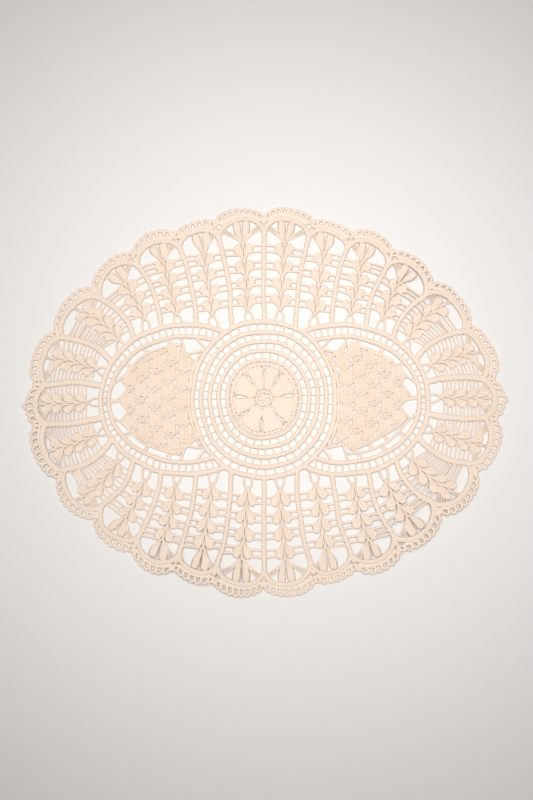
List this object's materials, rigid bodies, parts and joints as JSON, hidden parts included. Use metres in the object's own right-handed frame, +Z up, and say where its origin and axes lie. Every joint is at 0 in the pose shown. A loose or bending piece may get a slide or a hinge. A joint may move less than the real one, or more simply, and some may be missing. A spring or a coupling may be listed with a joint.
{
  "type": "crochet placemat",
  "caption": "Oval openwork lace mat with a round medallion, two net lobes, a ring of leaf panels and a scalloped picot edge; protects and dresses a table place.",
  "frame": {"origin": "on the table under the middle of the mat's bounding box", "axes": "+X along the mat's length, +Y across it towards the far edge, +Z up"},
  "size_m": [0.3784, 0.3066, 0.009],
  "materials": {
    "cotton_lace": "matt cream cotton thread, crocheted"
  },
  "bodies": {
    "root": {"placemat": "cotton_lace"}
  },
  "joints": []
}
